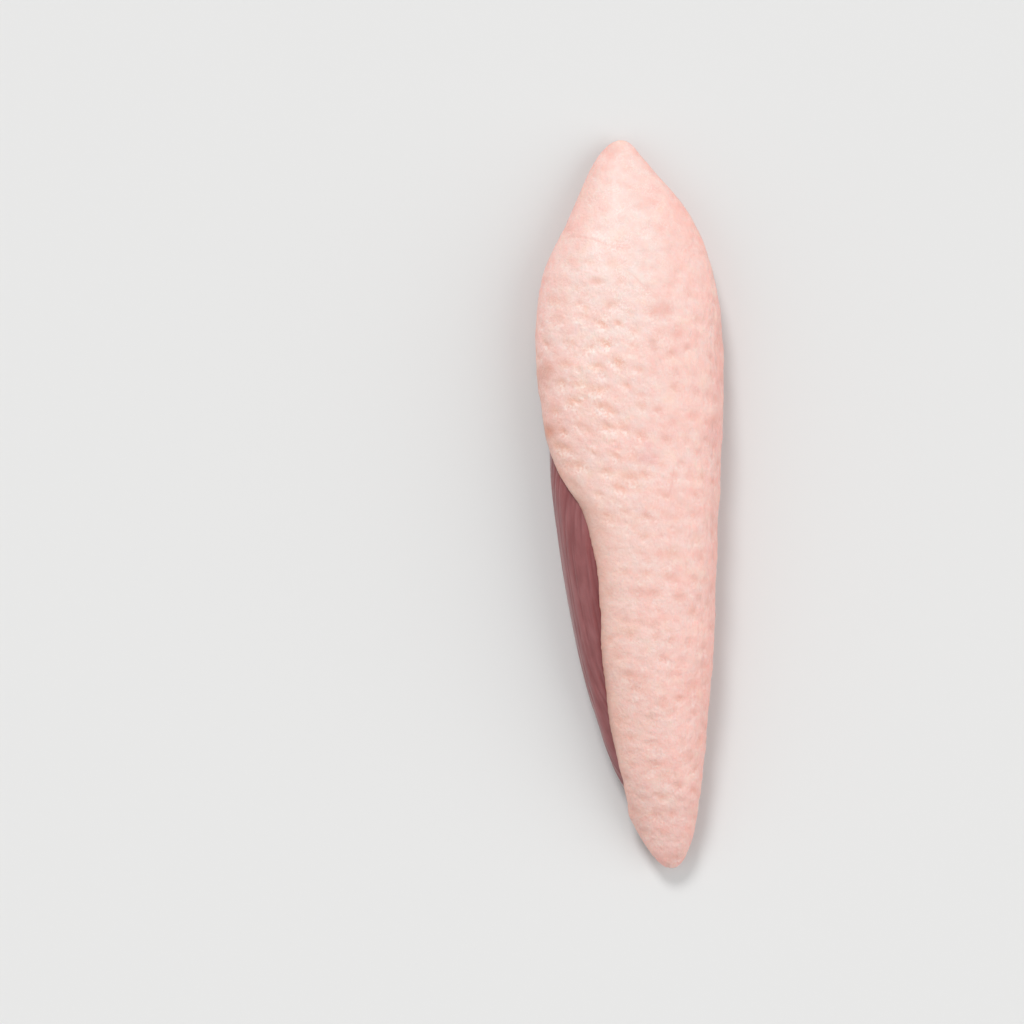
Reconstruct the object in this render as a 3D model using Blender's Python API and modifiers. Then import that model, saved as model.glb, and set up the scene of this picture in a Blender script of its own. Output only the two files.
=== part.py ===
"""Raw duck breast fillet, lying on its lean side with the skin up.

Two solids in metres, +Z up. The tip points along +Y and the origin is on the table under the
middle of the fillet. lean_meat is the breast muscle with its flat resting face. skin_fat is the
skin with its fat: a cap over the muscle, whose rim wraps under the sides and both ends and is
drawn back on the left flank, where a crescent of the muscle lies bare.

Both are made in the same way. A primitive is shaped on the unit ball, where a direction says
which part of the fillet is meant, and fillet_point() then carries it to the real sizes.
"""

import math

import bmesh
import bpy
import numpy as np
from mathutils import Matrix, Vector, noise

LENGTH = 0.194
SKIN_CREST = 0.0050  # skin with its fat on the crest of the fillet
SKIN_RIM = 0.0020  # and at its cut rim
SEAM = 0.00035  # air left between the skin and the muscle
BARE_DEPTH = 0.0009  # the bare muscle stays this far inside the fillet's full outline
SKIN_CLEARANCE = 0.0006  # the lowest that the skin comes to the table

# The cross sections, from the tail to the tip. Each row holds the place along the fillet (-1 at
# the tail, 1 at the tip), how far its middle lies to the right, and the half width, the rise
# from the widest level to the crest, and the height of the widest level over the table. The
# half width and the rise are those of a round that closes at both ends.
SECTIONS = (
    (-1.00, 0.0114, 0.0170, 0.0132, 0.0038),
    (-0.90, 0.0097, 0.0173, 0.0139, 0.0047),
    (-0.75, 0.0075, 0.0180, 0.0149, 0.0058),
    (-0.50, 0.0044, 0.0196, 0.0160, 0.0070),
    (-0.25, 0.0026, 0.0210, 0.0166, 0.0077),
    (0.00, 0.0013, 0.0226, 0.0169, 0.0080),
    (0.20, 0.0006, 0.0244, 0.0171, 0.0080),
    (0.45, -0.0001, 0.0277, 0.0171, 0.0077),
    (0.65, -0.0004, 0.0289, 0.0166, 0.0070),
    (0.80, 0.0001, 0.0260, 0.0156, 0.0059),
    (0.90, -0.0018, 0.0211, 0.0147, 0.0049),
    (0.95, -0.0024, 0.0191, 0.0142, 0.0043),
    (1.00, -0.0022, 0.0186, 0.0138, 0.0038),
)
FULLNESS = 2.35  # exponent of the cross section's superellipse; 2 is an ellipse
UNDERSIDE_SINK = 0.0042  # how far the round underside would pass below the table
END_DEPTH_SHARE = 1.6  # the fat is this much thicker at the tip and the tail than at the sides

# How far round from the crest the skin reaches, in degrees on the ball, for bearings that start
# at the right side and turn by the tip, the left side and the tail. Over 90 it wraps under.
RIM_REACH = (
    (0, 122),
    (35, 119),
    (70, 112),
    (90, 110),
    (115, 113),
    (140, 114),
    (155, 108),
    (165, 94),
    (171, 76),
    (175, 57),
    (180, 40.5),
    (186, 34),
    (194, 33),
    (204, 35.5),
    (216, 45),
    (229, 66),
    (242, 92),
    (256, 107),
    (270, 110),
    (300, 114),
    (330, 119),
)

LUMP_HEIGHT = 0.0005
LUMP_SPACING = 0.016
FURROW_DEPTH = 0.0006  # the shallow dip along the right of the crest
FURROW_BEARING = 0.42  # its place across the fillet, in half widths
FURROW_WIDTH = 0.16

SKIN_ACROSS, SKIN_ALONG = 24, 60
MUSCLE_AROUND, MUSCLE_ALONG = 32, 40
CAP_THICKNESS = 0.2  # of the skin's cap on the unit ball
RIM_BEVEL = 0.0005


class SmoothTable:
    """A smooth curve through rows of (station, value, ...)."""

    def __init__(self, rows):
        table = np.array(rows, float)
        self.stations = table[:, 0]
        self.values = table[:, 1:]
        self.slopes = np.gradient(self.values, self.stations, axis=0)

    def at(self, station):
        station = min(max(station, self.stations[0]), self.stations[-1])
        right = int(np.searchsorted(self.stations, station))
        right = min(max(right, 1), len(self.stations) - 1)
        left = right - 1
        span = self.stations[right] - self.stations[left]
        t = (station - self.stations[left]) / span
        rise = t * t * (3 - 2 * t)
        level = (1 - rise) * self.values[left] + rise * self.values[right]
        leaving = t * (1 - t) ** 2 * span * self.slopes[left]
        arriving = t * t * (1 - t) * span * self.slopes[right]
        return level + leaving - arriving


def all_the_way_round(rows):
    """The rows with their ends repeated, so that a curve through them closes smoothly."""
    before = [(bearing - 360, *rest) for bearing, *rest in rows[-3:]]
    after = [(bearing + 360, *rest) for bearing, *rest in rows[:3]]
    return (*before, *rows, *after)


SECTION_CURVE = SmoothTable(SECTIONS)
RIM_CURVE = SmoothTable(all_the_way_round(RIM_REACH))


def ease(value):
    """0 below 0, 1 above 1, and a smooth rise between."""
    t = min(max(value, 0.0), 1.0)
    return t * t * (3 - 2 * t)


def rim_reach(bearing):
    """How far from the crest the skin reaches at this bearing, both in radians."""
    return math.radians(RIM_CURVE.at(math.degrees(bearing) % 360)[0])


def rim_share(direction):
    """0 at the crest, 1 on the skin's rim and more beyond it."""
    from_crest = math.acos(min(max(direction.z, -1.0), 1.0))
    bearing = math.atan2(direction.y, direction.x)
    return from_crest / rim_reach(bearing)


def skin_thickness(share):
    """The skin thins from the crest to its rim, most of it close to the rim."""
    return SKIN_RIM + (SKIN_CREST - SKIN_RIM) * (1 - min(share, 1.0) ** 3)


def muscle_depth(share):
    """How deep the muscle's surface lies: under the skin, and then out to the bare flank."""
    under_skin = skin_thickness(share) + SEAM
    out = ease((share - 1.05) / 0.40)
    return under_skin + (BARE_DEPTH - under_skin) * out


def fillet_point(direction, depth, floor):
    """The point of the fillet in this direction, depth under its full outline."""
    middle, half_width, rise, level = SECTION_CURVE.at(direction.y)
    chord = math.hypot(direction.x, direction.z)
    across, up = direction.x, direction.z
    if chord > 1e-6:
        ends = abs(across / chord) ** FULLNESS + abs(up / chord) ** FULLNESS
        swell = ends ** (-1 / FULLNESS)
        across *= swell
        up *= swell
    reach = rise if up > 0 else level + UNDERSIDE_SINK
    return Vector(
        (
            middle + (half_width - depth) * across,
            (LENGTH / 2 - END_DEPTH_SHARE * depth) * direction.y,
            max(level + (reach - depth) * up, floor),
        )
    )


def lump(direction, spacing):
    """A soft swelling between -1 and 1, which is the same on every run."""
    place = fillet_point(direction, 0.0, 0.0) / spacing
    return noise.noise(place)


def skin_relief(direction):
    """How far the skin stands above its even form: soft lumps and one long shallow furrow."""
    share = rim_share(direction)
    fade = 1 - ease((share - 0.80) / 0.20)
    off_furrow = (direction.x - FURROW_BEARING) / FURROW_WIDTH
    furrow = math.exp(-off_furrow * off_furrow) * ease((0.7 - abs(direction.y)) / 0.3)
    return fade * (LUMP_HEIGHT * lump(direction, LUMP_SPACING) - FURROW_DEPTH * furrow)


def on_the_ball(across, along):
    """The direction under the skin for a place on a square grid of sides -1 to 1."""
    round_across = across * math.sqrt(1 - along * along / 2)
    round_along = along * math.sqrt(1 - across * across / 2)
    share = math.hypot(round_across, round_along)
    bearing = math.atan2(round_along, round_across)
    from_crest = share * rim_reach(bearing)
    level_part = math.sin(from_crest)
    return Vector(
        (
            level_part * math.cos(bearing),
            level_part * math.sin(bearing),
            math.cos(from_crest),
        )
    )


def make_skin():
    """A grid laid over the ball out to the rim, given its thickness and carried to real size."""
    shape = bmesh.new()
    bmesh.ops.create_grid(
        shape, x_segments=SKIN_ACROSS, y_segments=SKIN_ALONG, size=1.0
    )
    for vertex in shape.verts:
        vertex.co = on_the_ball(vertex.co.x, vertex.co.y)
    shape.normal_update()
    bmesh.ops.solidify(shape, geom=shape.faces[:], thickness=CAP_THICKNESS)
    for vertex in shape.verts:
        inner = vertex.co.length < 1 - CAP_THICKNESS / 2
        direction = vertex.co.normalized()
        if inner:
            depth = skin_thickness(rim_share(direction))
        else:
            depth = -skin_relief(direction)
        vertex.co = fillet_point(direction, depth, SKIN_CLEARANCE)
    bmesh.ops.recalc_face_normals(shape, faces=shape.faces[:])
    skin = object_from(shape, "skin_fat")
    rounding = skin.modifiers.new("rim_rounding", "BEVEL")
    rounding.width = RIM_BEVEL
    rounding.segments = 1
    rounding.limit_method = "ANGLE"
    rounding.angle_limit = math.radians(60)
    dress(skin, "pale_pink_skin", (0.83, 0.62, 0.56), 0.45)
    return skin


def make_muscle():
    """A ball with its poles at the tip and the tail, carried to real size on a flat base."""
    shape = bmesh.new()
    bmesh.ops.create_uvsphere(
        shape, u_segments=MUSCLE_AROUND, v_segments=MUSCLE_ALONG, radius=1.0
    )
    poles_to_the_ends = Matrix.Rotation(math.radians(90), 3, "X")
    bmesh.ops.rotate(shape, matrix=poles_to_the_ends, verts=shape.verts[:])
    for vertex in shape.verts:
        direction = vertex.co.normalized()
        depth = muscle_depth(rim_share(direction))
        vertex.co = fillet_point(direction, depth, 0.0)
    bmesh.ops.recalc_face_normals(shape, faces=shape.faces[:])
    muscle = object_from(shape, "lean_meat")
    dress(muscle, "dark_red_muscle", (0.26, 0.07, 0.07), 0.4)
    return muscle


def object_from(shape, name):
    """Turns a bmesh into a smooth-shaded object of this name."""
    mesh = bpy.data.meshes.new(name)
    shape.to_mesh(mesh)
    shape.free()
    mesh.shade_smooth()
    made = bpy.data.objects.new(name, mesh)
    fillet_collection().objects.link(made)
    return made


def fillet_collection():
    """The collection that holds the fillet's pieces."""
    name = "duck_breast_fillet"
    found = bpy.data.collections.get(name)
    if found is None:
        found = bpy.data.collections.new(name)
        bpy.context.scene.collection.children.link(found)
    return found


def dress(piece, name, colour, roughness):
    """Gives a piece its own Principled material."""
    material = bpy.data.materials.new(name)
    material.use_nodes = True
    shader = material.node_tree.nodes["Principled BSDF"]
    shader.inputs["Base Color"].default_value = (*colour, 1.0)
    shader.inputs["Roughness"].default_value = roughness
    shader.inputs["Metallic"].default_value = 0.0
    piece.data.materials.append(material)


def clear_scene():
    for old in list(bpy.data.objects):
        bpy.data.objects.remove(old)


def main():
    clear_scene()
    make_muscle()
    make_skin()


main()
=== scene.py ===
"""The looks of one raw duck breast fillet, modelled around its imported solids.

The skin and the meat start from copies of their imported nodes, are cut finely and get the relief
of the real surfaces. All sizes are in metres, +Z is up and the pointed tip lies along +Y. Colours
are linear. Places that were read off the photograph are given in its pixels, and Photo turns
them into metres.
"""

import logging
import math
from collections.abc import Iterator
from contextlib import contextmanager
from dataclasses import dataclass
from itertools import product

import bmesh
import bpy
import numpy as np
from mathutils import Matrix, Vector, noise
from mathutils.bvhtree import BVHTree
from mathutils.kdtree import KDTree


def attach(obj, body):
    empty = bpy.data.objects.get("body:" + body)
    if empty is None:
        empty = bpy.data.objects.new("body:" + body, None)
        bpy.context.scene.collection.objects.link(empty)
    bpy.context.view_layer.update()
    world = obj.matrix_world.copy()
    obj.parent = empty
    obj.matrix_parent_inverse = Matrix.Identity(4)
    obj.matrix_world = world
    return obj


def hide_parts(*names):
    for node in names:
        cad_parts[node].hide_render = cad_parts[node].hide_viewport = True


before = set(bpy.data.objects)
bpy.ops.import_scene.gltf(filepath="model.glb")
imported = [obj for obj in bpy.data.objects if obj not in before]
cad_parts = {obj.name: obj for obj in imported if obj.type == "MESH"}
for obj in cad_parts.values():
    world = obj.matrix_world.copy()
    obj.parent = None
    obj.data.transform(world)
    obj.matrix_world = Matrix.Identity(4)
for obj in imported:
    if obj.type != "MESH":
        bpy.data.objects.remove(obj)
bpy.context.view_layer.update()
LOG = logging.getLogger("duck_breast")

MILLIMETRE = 0.001
ALONG_THE_GRAIN_DEG = 9.0  # from the fillet's length to the muscle's fibres
ACROSS, ALONG = 0, 1  # the fillet's axes
NOISE_MIDDLE = 0.5  # of a shader's noise, which runs from 0 to 1
Colour = tuple[float, float, float]
Range = tuple[float, float]


@dataclass(frozen=True)
class Photo:
    """The photograph's square frame, laid over the fillet as it is seen from above."""

    side: int = 1024
    pixel: float = 0.265 * MILLIMETRE
    origin_x: float = 629.75
    origin_y: float = 504.0

    def place(self, x: float, y: float) -> tuple[float, float]:
        """Returns the metres right of and above the origin for a pixel."""
        return (x - self.origin_x) * self.pixel, (self.origin_y - y) * self.pixel


PHOTO = Photo()


def smooth_step(low: float, high: float, values: np.ndarray) -> np.ndarray:
    """Eases from 0 to 1 between two values.

    Args:
        low: where the result leaves 0.
        high: where it reaches 1; it may be below low.
        values: what is compared with them.

    Returns:
        The eased shares, one for each value.
    """
    share = np.clip((values - low) / (high - low), 0.0, 1.0)
    return share * share * (3.0 - 2.0 * share)


def bell(distances: np.ndarray, width: float) -> np.ndarray:
    """Returns a round bell that is 1 in the middle and about a third at this width."""
    return np.exp(-((distances / width) ** 2))


def lumps(places: np.ndarray, size: float, shift: float = 0.0) -> np.ndarray:
    """Smooth noise between about -1 and 1.

    Args:
        places: two or three coordinates a row, in metres.
        size: the width of a lump.
        shift: moves to another part of the noise, to get a pattern of its own.

    Returns:
        One value for each row.
    """
    flat = np.zeros((len(places), 3))
    flat[:, : places.shape[1]] = places / size
    flat += shift
    return np.array([noise.noise(place) for place in flat.tolist()])


class Shift:
    """Where in the noise each kind of lumps lies, so that no two look alike."""

    SWELLS = 3.0
    BUNDLES = 5.0
    FOLDS = 7.0
    CRINKLES = 9.0
    RIM = 17.0
    WRINKLES = 21.0
    BENDS = (31.0, 37.0)


class Field:
    """A shader socket that takes part in Python sums as a number would."""

    def __init__(self, paint: "Paint", socket: bpy.types.NodeSocket) -> None:
        """Wraps an output socket of a paint's node."""
        self.paint = paint
        self.socket = socket

    def of(self, name: str) -> "Field":
        """Returns another output of the same node."""
        return Field(self.paint, self.socket.node.outputs[name])

    def maths(self, operation: str, *values: "Field | float") -> "Field":
        """Returns a Math node's result for these values."""
        sockets = dict(enumerate(values))
        return self.paint.node("ShaderNodeMath", {"operation": operation}, sockets)

    def __add__(self, other: "Field | float") -> "Field":
        """Adds."""
        return self.maths("ADD", self, other)

    def __radd__(self, other: float) -> "Field":
        """Adds to a number."""
        return self.maths("ADD", other, self)

    def __sub__(self, other: "Field | float") -> "Field":
        """Takes away."""
        return self.maths("SUBTRACT", self, other)

    def __rsub__(self, other: float) -> "Field":
        """Is taken away from a number."""
        return self.maths("SUBTRACT", other, self)

    def __mul__(self, other: "Field | float") -> "Field":
        """Multiplies."""
        return self.maths("MULTIPLY", self, other)

    def __rmul__(self, other: float) -> "Field":
        """Multiplies a number."""
        return self.maths("MULTIPLY", other, self)

    def magnitude(self) -> "Field":
        """Drops the sign."""
        return self.maths("ABSOLUTE", self)

    def between(self, low: float, high: float) -> "Field":
        """Eases from 0 to 1 between two values.

        Args:
            low: where the result leaves 0.
            high: where it reaches 1; it may be below low.

        Returns:
            The eased share.
        """
        settings = {"interpolation_type": "SMOOTHSTEP"}
        sockets = {"Value": self, "From Min": low, "From Max": high}
        return self.paint.node("ShaderNodeMapRange", settings, sockets)


class Paint:
    """A material that is put together node by node."""

    def __init__(self, name: str) -> None:
        """Starts a material with its Principled shader.

        Args:
            name: the material's name.
        """
        self.material = bpy.data.materials.new(name)
        self.material.use_nodes = True
        self.tree = self.material.node_tree
        self.shader = self.tree.nodes["Principled BSDF"]

    def node(self, kind: str, settings: dict | None = None, sockets: dict | None = None) -> Field:
        """Adds a node.

        Args:
            kind: the node's type.
            settings: its own properties, which are set first.
            sockets: values or fields for its inputs, by name, identifier or number.

        Returns:
            Its first output that is in use.
        """
        made = self.tree.nodes.new(kind)
        for key, value in (settings or {}).items():
            setattr(made, key, value)
        for key, value in (sockets or {}).items():
            self.join(self.find(made, key), value)
        first = next(socket for socket in made.outputs if socket.enabled)
        return Field(self, first)

    @staticmethod
    def find(node: bpy.types.Node, key: str | int) -> bpy.types.NodeSocket:
        """Finds one of a node's inputs.

        Args:
            node: the node.
            key: the input's number, identifier or name.

        Returns:
            The input.
        """
        if isinstance(key, int):
            return node.inputs[key]
        known = {socket.identifier: socket for socket in node.inputs}
        return known[key] if key in known else node.inputs[key]

    def join(self, socket: bpy.types.NodeSocket, value: "Field | float | Colour") -> None:
        """Links a field to a socket, or sets the socket's own value.

        Args:
            socket: an input of a node.
            value: a field, or the value to set.
        """
        if isinstance(value, Field):
            self.tree.links.new(value.socket, socket)
        elif socket.type == "RGBA":
            socket.default_value = (*value, 1.0)
        else:
            socket.default_value = value

    def shade(self, sockets: dict) -> None:
        """Sets or links inputs of the Principled shader."""
        for key, value in sockets.items():
            self.join(self.shader.inputs[key], value)

    def attribute(self, name: str) -> Field:
        """Returns a number that the piece's mesh holds for each point."""
        return self.node("ShaderNodeAttribute", {"attribute_name": name}).of("Fac")

    def flat_place(self) -> Field:
        """Returns the place on the piece's surface laid flat, which the mesh holds."""
        return self.node("ShaderNodeAttribute", {"attribute_name": "flat"}).of("Vector")

    def place(self) -> Field:
        """Returns the point's place on the piece, in metres."""
        return self.node("ShaderNodeTexCoord").of("Object")

    def scaled(self, vector: Field, scale: tuple[float, float, float]) -> Field:
        """Returns a place multiplied along each axis."""
        return self.node("ShaderNodeMapping", None, {"Vector": vector, "Scale": scale})

    def turned(self, vector: Field, degrees: float) -> Field:
        """Returns a place turned about the upright axis."""
        turn = (0.0, 0.0, math.radians(degrees))
        return self.node("ShaderNodeMapping", None, {"Vector": vector, "Rotation": turn})

    def cloud(self, vector: Field, size: float, detail: float = 2.0) -> Field:
        """Returns smooth noise between 0 and 1 with lumps of this size."""
        sockets = {"Vector": vector, "Scale": 1.0 / size, "Detail": detail}
        return self.node("ShaderNodeTexNoise", {"noise_dimensions": "3D"}, sockets)

    def blend(self, share: "Field | float", first: "Field | Colour", other: "Field | Colour") -> Field:
        """Mixes two colours.

        Args:
            share: 0 for the first colour, 1 for the other.
            first: a colour or a field of colours.
            other: the same.

        Returns:
            The mixed colour.
        """
        sockets = {"Factor_Float": share, "A_Color": first, "B_Color": other}
        return self.node("ShaderNodeMix", {"data_type": "RGBA"}, sockets)

    def relief(self, height: Field, depth: float, before: Field | None = None) -> Field:
        """Bends the normals by a height.

        Args:
            height: the height as a share of the depth.
            depth: the height of a share of 1, in metres.
            before: normals that are bent already.

        Returns:
            The bent normals.
        """
        sockets = {"Height": height, "Distance": depth, "Strength": 1.0}
        if before is not None:
            sockets["Normal"] = before
        return self.node("ShaderNodeBump", None, sockets)


@dataclass(frozen=True)
class Mottle:
    """One layer of noise in a finish: its size, detail and stretch, and the part that shows."""

    size: float
    detail: float = 2.0
    stretch: tuple[float, float, float] | None = None
    shown: Range | None = None

    def over(self, paint: Paint, place: Field) -> Field:
        """Draws the layer.

        Args:
            paint: the material that is being put together.
            place: the point's place on the piece.

        Returns:
            The layer's strength, from 0 to 1.
        """
        where = place if self.stretch is None else paint.scaled(place, self.stretch)
        cloud = paint.cloud(where, self.size, self.detail)
        return cloud if self.shown is None else cloud.between(*self.shown)


@dataclass(frozen=True)
class SkinFinish:
    """Raw duck skin over white fat: pale pink, mottled, redder round each follicle, moist.

    The strengths say how far each layer takes the colour from the layers before it.
    """

    pale: Colour = (0.84, 0.68, 0.63)
    pink: Colour = (0.87, 0.46, 0.40)
    cream: Colour = (0.885, 0.655, 0.545)
    rose: Colour = (0.745, 0.36, 0.30)
    # tan is also painted shade: the orange inside the long dents of slack skin
    tan: Colour = (0.78, 0.35, 0.20)
    glint: Colour = (0.96, 0.84, 0.79)
    flush: Colour = (0.76, 0.36, 0.37)
    # red-brown spots, two of which are painted shade at the left edge
    red_spots_and_edge_shade: Colour = (0.62, 0.24, 0.16)
    # painted shade over the skin that rolls down at the open edge; lip_shade is the darker painted
    # shade on its last lip
    open_edge_shade: Colour = (0.70, 0.43, 0.33)
    lip_shade: Colour = (0.46, 0.24, 0.19)
    fat: Colour = (0.92, 0.81, 0.68)
    fat_pink: Colour = (0.86, 0.60, 0.50)
    fat_grain: Mottle = Mottle(2.2 * MILLIMETRE, 4.0, shown=(0.35, 0.7))
    broad: Mottle = Mottle(9.0 * MILLIMETRE)
    broad_strength: float = 0.6
    fine: Mottle = Mottle(2.4 * MILLIMETRE, 3.0)
    fine_strength: float = 0.8
    patches: Mottle = Mottle(5.0 * MILLIMETRE, shown=(0.5, 0.8))
    patch_strength: float = 0.5
    mark_strength: float = 0.60
    mark_lost_in_slack: float = 0.08
    winding_net: Mottle = Mottle(0.9 * MILLIMETRE)
    lengthwise_net: Mottle = Mottle(1.1 * MILLIMETRE, stretch=(1.0, 0.25, 1.0))
    net_breaks: Mottle = Mottle(4.0 * MILLIMETRE, shown=(0.35, 0.65))
    net_line: float = 0.055
    net_strength: float = 0.24
    # painted glints of the net on the crest
    net_more_on_crest: float = 0.30
    net_lost_in_stretch: float = 0.10
    glints: Mottle = Mottle(0.8 * MILLIMETRE, 3.0, shown=(0.38, 0.62))
    glint_strength: float = 0.25
    glint_more_in_slack: float = 0.35
    crease_shade_shown: Range = (0.2, 1.0)
    crease_shade_strength: float = 0.4
    red_spots_and_edge_shade_strength: float = 0.75
    open_edge_shade_strength: float = 0.7
    lip_shade_shown: Range = (0.52, 1.0)
    lip_shade_strength: float = 0.8
    flush_strength: float = 0.5
    weave: Mottle = Mottle(1.4 * MILLIMETRE, 4.0, stretch=(1.3, 0.8, 1.2))
    weave_depth: float = 0.36 * MILLIMETRE
    pores: Mottle = Mottle(0.6 * MILLIMETRE)
    pore_depth: float = 0.12 * MILLIMETRE
    roughness: float = 0.48
    dull_and_shiny: Mottle = Mottle(3.5 * MILLIMETRE, 3.0)
    roughness_spread: float = 0.24
    moisture: float = 0.05
    moisture_more_in_slack: float = 0.16

    def material(self) -> bpy.types.Material:
        """Puts the skin and its fat together.

        Returns:
            The material, which reads the attributes that DuckSkin writes.
        """
        paint = Paint("duck_skin")
        place = paint.place()
        fat = paint.blend(self.fat_grain.over(paint, place), self.fat, self.fat_pink)
        colour = paint.blend(paint.attribute("skin"), fat, self.skin_colour(paint, place))
        bent = paint.relief(self.weave.over(paint, place), self.weave_depth)
        bent = paint.relief(self.pores.over(paint, place), self.pore_depth, bent)
        uneven = self.dull_and_shiny.over(paint, place) - NOISE_MIDDLE
        moist = self.moisture + paint.attribute("slack") * self.moisture_more_in_slack
        paint.shade(
            {
                "Base Color": colour,
                "Roughness": self.roughness + self.roughness_spread * uneven,
                "Normal": bent,
                "IOR": 1.42,
                "Subsurface Weight": 0.3,
                "Subsurface Radius": (1.0, 0.42, 0.30),
                "Subsurface Scale": 1.2 * MILLIMETRE,
                "Coat Weight": moist,
                "Coat Roughness": 0.24,
            }
        )
        return paint.material

    def skin_colour(self, paint: Paint, place: Field) -> Field:
        """Mixes the skin's colour, with its painted shade and highlights.

        Args:
            paint: the material that is being put together.
            place: the point's place on the piece.

        Returns:
            The colour of the skin.
        """
        broad = (self.broad.over(paint, place) - NOISE_MIDDLE) * self.broad_strength
        fine = (self.fine.over(paint, place) - NOISE_MIDDLE) * self.fine_strength
        colour = paint.blend(paint.attribute("rosy") + broad + fine, self.pale, self.pink)
        slack = paint.attribute("slack")
        # Follicles are redder: rose where the skin is taut and tan where it is slack, where the tan is
        # also painted shade for the orange inside the long dents.
        follicle_and_dent_shade = paint.blend(slack, self.rose, self.tan)
        marked = paint.attribute("follicle") * (self.mark_strength - self.mark_lost_in_slack * slack)
        # Painted glints on the follicles' lips, more where the skin is slack.
        glinting = paint.attribute("lip") * self.glints.over(paint, place)
        glinting = glinting * (self.glint_strength + slack * self.glint_more_in_slack)
        # Painted shade along the fine creases.
        crease_shade = paint.attribute("crease").between(*self.crease_shade_shown)
        # Painted shade that grows towards the open edge, darkest on the lip where the skin meets the
        # bare meat.
        open_edge_shade = paint.attribute("open_edge_shade")
        lip = open_edge_shade.between(*self.lip_shade_shown)
        layers = (
            (self.patches.over(paint, place) * self.patch_strength, self.cream),
            (marked, follicle_and_dent_shade),
            (self.net(paint, place), self.glint),
            (glinting, self.glint),
            (crease_shade * self.crease_shade_strength, self.rose),
            (paint.attribute("red_spots_and_edge_shade") * self.red_spots_and_edge_shade_strength, self.red_spots_and_edge_shade),
            (open_edge_shade * self.open_edge_shade_strength, self.open_edge_shade),
            (lip * self.lip_shade_strength, self.lip_shade),
            (paint.attribute("flush") * self.flush_strength, self.flush),
        )
        for share, laid_over in layers:
            colour = paint.blend(share, colour, laid_over)
        return colour

    def net(self, paint: Paint, place: Field) -> Field:
        """Draws the net of fine pale lines between the skin's cells: partly the skin's own pattern,
        partly painted glints, strongest on the crest.

        Args:
            paint: the material that is being put together.
            place: the point's place on the piece.

        Returns:
            How strong the net is: 0 off its lines.
        """
        stretched = paint.attribute("stretched")
        winding = self.winding_net.over(paint, place) * (1 - stretched)
        lengthwise = self.lengthwise_net.over(paint, place) * stretched
        off_line = (winding + lengthwise - NOISE_MIDDLE).magnitude()
        line = off_line.between(self.net_line, 0.0) * self.net_breaks.over(paint, place)
        strength = self.net_strength + self.net_more_on_crest * paint.attribute("crest_glints")
        return line * (strength - self.net_lost_in_stretch * stretched)


@dataclass(frozen=True)
class MeatFinish:
    """Raw duck muscle: dusky purple red, with a lengthwise grain and a thin pale membrane."""

    # Set dark partly as painted shade, so that the lit bare flank has the colour of meat in shade.
    deep: Colour = (0.20, 0.040, 0.042)
    dusky: Colour = (0.29, 0.078, 0.080)
    membrane: Colour = (0.44, 0.20, 0.205)
    grain: Mottle = Mottle(1.3 * MILLIMETRE, 4.0, stretch=(1.0, 0.07, 1.0))
    grain_share: float = 0.5
    fibres: Mottle = Mottle(0.55 * MILLIMETRE, stretch=(1.0, 0.03, 1.0))
    fibre_share: float = 0.4
    patches: Mottle = Mottle(3.0 * MILLIMETRE, 3.0, stretch=(1.0, 0.5, 1.0))
    patch_share: float = 1.2
    shade_shown: Range = (0.1, 0.85)
    broad: Mottle = Mottle(14.0 * MILLIMETRE)
    veil_shown: Range = (0.4, 0.7)
    veil_least: float = 0.25
    veil_off_grain: float = 0.5
    furrow_shade_strength: float = 0.7
    grain_relief: float = 0.6
    fibre_relief: float = 0.4
    relief_depth: float = 0.22 * MILLIMETRE
    roughness: float = 0.36
    roughness_spread: float = 0.2

    def material(self) -> bpy.types.Material:
        """Puts the muscle together.

        Returns:
            The material, which reads the attributes that DuckMeat writes.
        """
        paint = Paint("duck_meat")
        turned = paint.turned(paint.flat_place(), ALONG_THE_GRAIN_DEG)
        grain = self.grain.over(paint, turned)
        fibres = self.fibres.over(paint, turned)
        patches = self.patches.over(paint, turned) - NOISE_MIDDLE
        broad = self.broad.over(paint, paint.place())
        shade = grain * self.grain_share + fibres * self.fibre_share + patches * self.patch_share
        colour = paint.blend(shade.between(*self.shade_shown), self.deep, self.dusky)
        veil = self.veil_least + (1 - self.veil_least) * broad.between(*self.veil_shown)
        veil = paint.attribute("membrane") * veil * (self.veil_off_grain + grain)
        colour = paint.blend(veil, colour, self.membrane)
        # Painted shade in the furrows between the muscle's bundles.
        colour = paint.blend(paint.attribute("furrow_shade") * self.furrow_shade_strength, colour, self.deep)
        height = grain * self.grain_relief + fibres * self.fibre_relief
        paint.shade(
            {
                "Base Color": colour,
                "Roughness": self.roughness + self.roughness_spread * (broad - NOISE_MIDDLE),
                "Normal": paint.relief(height, self.relief_depth),
                "IOR": 1.4,
                "Subsurface Weight": 0.2,
                "Subsurface Radius": (1.0, 0.25, 0.2),
                "Subsurface Scale": 1.5 * MILLIMETRE,
                "Coat Weight": 0.45,
                "Coat Roughness": 0.16,
            }
        )
        return paint.material


@dataclass(frozen=True)
class FloorFinish:
    """A plain pale matt floor."""

    colour: Colour = (0.72, 0.72, 0.715)
    roughness: float = 0.85

    def material(self) -> bpy.types.Material:
        """Puts the floor's material together.

        Returns:
            The material.
        """
        paint = Paint("pale_floor")
        paint.shade({"Base Color": self.colour, "Roughness": self.roughness})
        return paint.material


def take_up(piece: bpy.types.Object) -> None:
    """Selects one piece alone and makes it the active one.

    Args:
        piece: the piece to take up.
    """
    for other in bpy.context.selected_objects:
        other.select_set(False)
    piece.select_set(True)
    bpy.context.view_layer.objects.active = piece


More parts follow.
